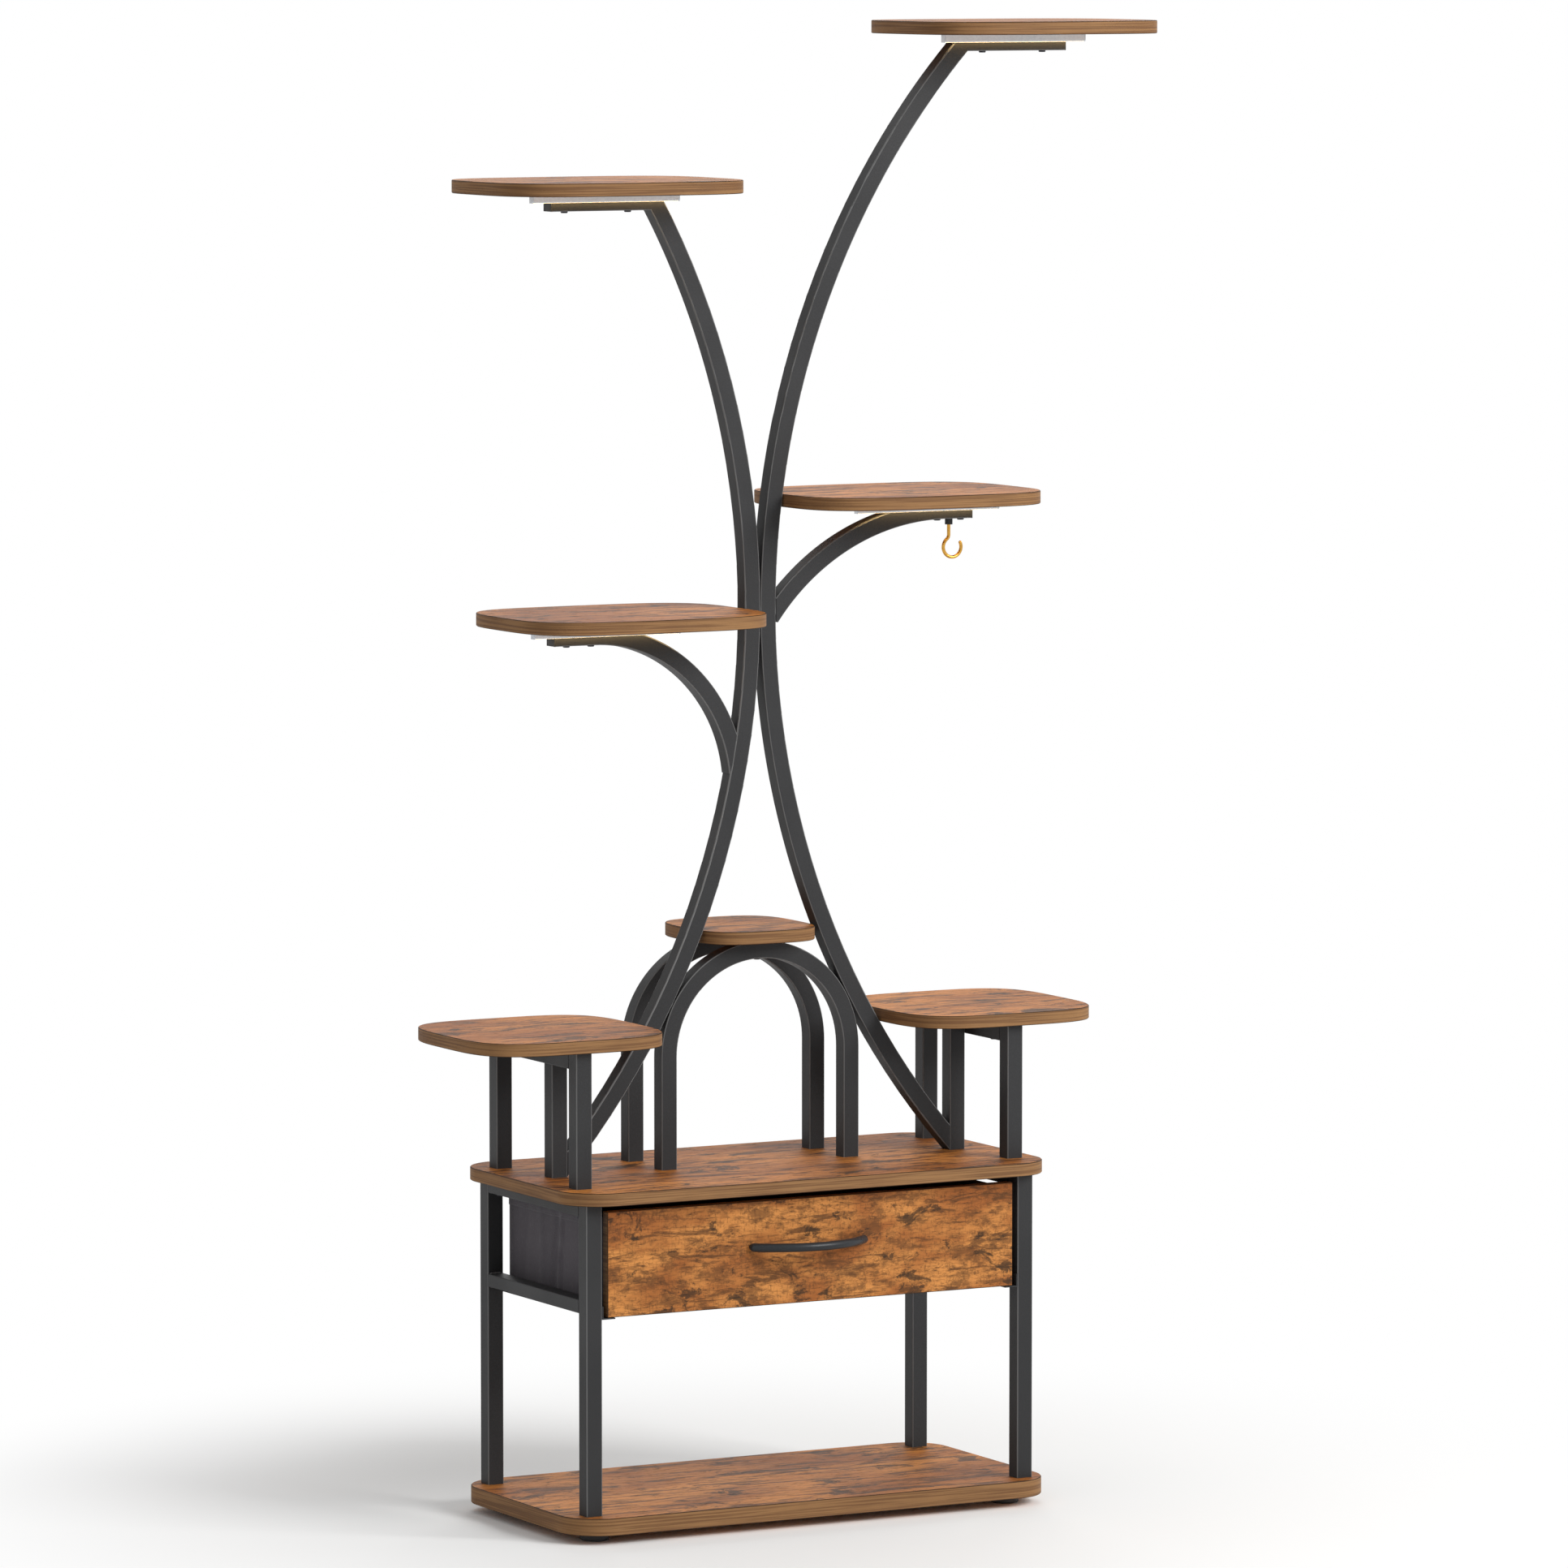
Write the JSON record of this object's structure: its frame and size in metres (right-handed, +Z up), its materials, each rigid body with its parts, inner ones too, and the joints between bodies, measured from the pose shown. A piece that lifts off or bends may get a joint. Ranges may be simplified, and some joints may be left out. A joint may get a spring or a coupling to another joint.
{
  "type": "plant stand with grow lights",
  "caption": "Tall indoor plant stand: a low cabinet with a fabric drawer, side tables, arches and a trunk of two bent tubes with boards and grow lights.",
  "frame": {"origin": "on the floor, under the middle of the stand's overall box", "axes": "+Z up; +X along the cabinet's long side, to the right seen from the drawer front; +Y to the back"},
  "size_m": [0.8902, 0.326, 1.707],
  "materials": {
    "rustic_board": "printed rustic brown laminate, satin",
    "drawer_board": "printed rustic brown laminate, satin",
    "powder_coat": "charcoal powder coat, satin",
    "foot_rubber": "dark grey, matte",
    "screw_steel": "black zinc",
    "insert_plastic": "black nylon",
    "sleeve_steel": "bare steel",
    "black_plastic": "black, fine grain",
    "drawer_fabric": "charcoal non-woven fabric",
    "hardboard": "fabric-covered hardboard",
    "handle_steel": "black, satin",
    "light_aluminium": "clear anodised",
    "frosted_cover": "frosted polycarbonate",
    "led_board": "white circuit board with light chips",
    "inlet_plastic": "black",
    "brass_wire": "polished"
  },
  "bodies": {
    "stand": {"arch_front": "powder_coat", "arch_rear": "powder_coat", "arch_screws": "screw_steel", "arch_top": "rustic_board", "arm_end_plugs": "black_plastic", "bottom_shelf": "rustic_board", "branch_left": "powder_coat", "branch_right": "powder_coat", "curve_left": "powder_coat", "curve_right_lower": "powder_coat", "curve_right_upper": "powder_coat", "drawer_runner_left": "powder_coat", "drawer_runner_right": "powder_coat", "feet": "foot_rubber", "foot_screws": "screw_steel", "frame_screws": "screw_steel", "hook_nut": "screw_steel", "hook_stem": "black_plastic", "inner_leg_left": "powder_coat", "inner_leg_right": "powder_coat", "joint_sleeve": "sleeve_steel", "led_boards": "led_board", "leg_bolts": "screw_steel", "light_cover_lower_left": "frosted_cover", "light_cover_middle_right": "frosted_cover", "light_cover_top_right": "frosted_cover", "light_cover_upper_left": "frosted_cover", "light_housing_lower_left": "light_aluminium", "light_housing_middle_right": "light_aluminium", "light_housing_top_right": "light_aluminium", "light_housing_upper_left": "light_aluminium", "light_inlets": "inlet_plastic", "light_screws": "screw_steel", "middle_shelf": "rustic_board", "post_bolts": "screw_steel", "rear_cross_rail": "powder_coat", "shelf_lower_left": "rustic_board", "shelf_middle_right": "rustic_board", "shelf_screws": "screw_steel", "shelf_top_right": "rustic_board", "shelf_upper_left": "rustic_board", "side_frame_left": "powder_coat", "side_frame_right": "powder_coat", "table_frame_left": "powder_coat", "table_frame_right": "powder_coat", "table_screws": "screw_steel", "table_top_left": "rustic_board", "table_top_right": "rustic_board", "tie_plate": "powder_coat", "trunk_screws": "screw_steel", "tube_inserts": "insert_plastic"},
    "drawer": {"drawer_front": "drawer_board", "drawer_box": "drawer_fabric", "drawer_base_board": "hardboard", "drawer_front_backing": "hardboard", "drawer_handle": "handle_steel", "drawer_screws": "screw_steel"},
    "hook": {"hook": "brass_wire"}
  },
  "joints": [
    {"name": "drawer_slide", "type": "slide", "parent": "stand", "child": "drawer", "axis": [0, -1, 0], "range_m": [0, 0.2]},
    {"name": "hook_swivel", "type": "hinge", "parent": "stand", "child": "hook", "pos_m": [0.20649, 0.008, 1.134], "axis": [0, 0, 1], "continuous": true}
  ]
}
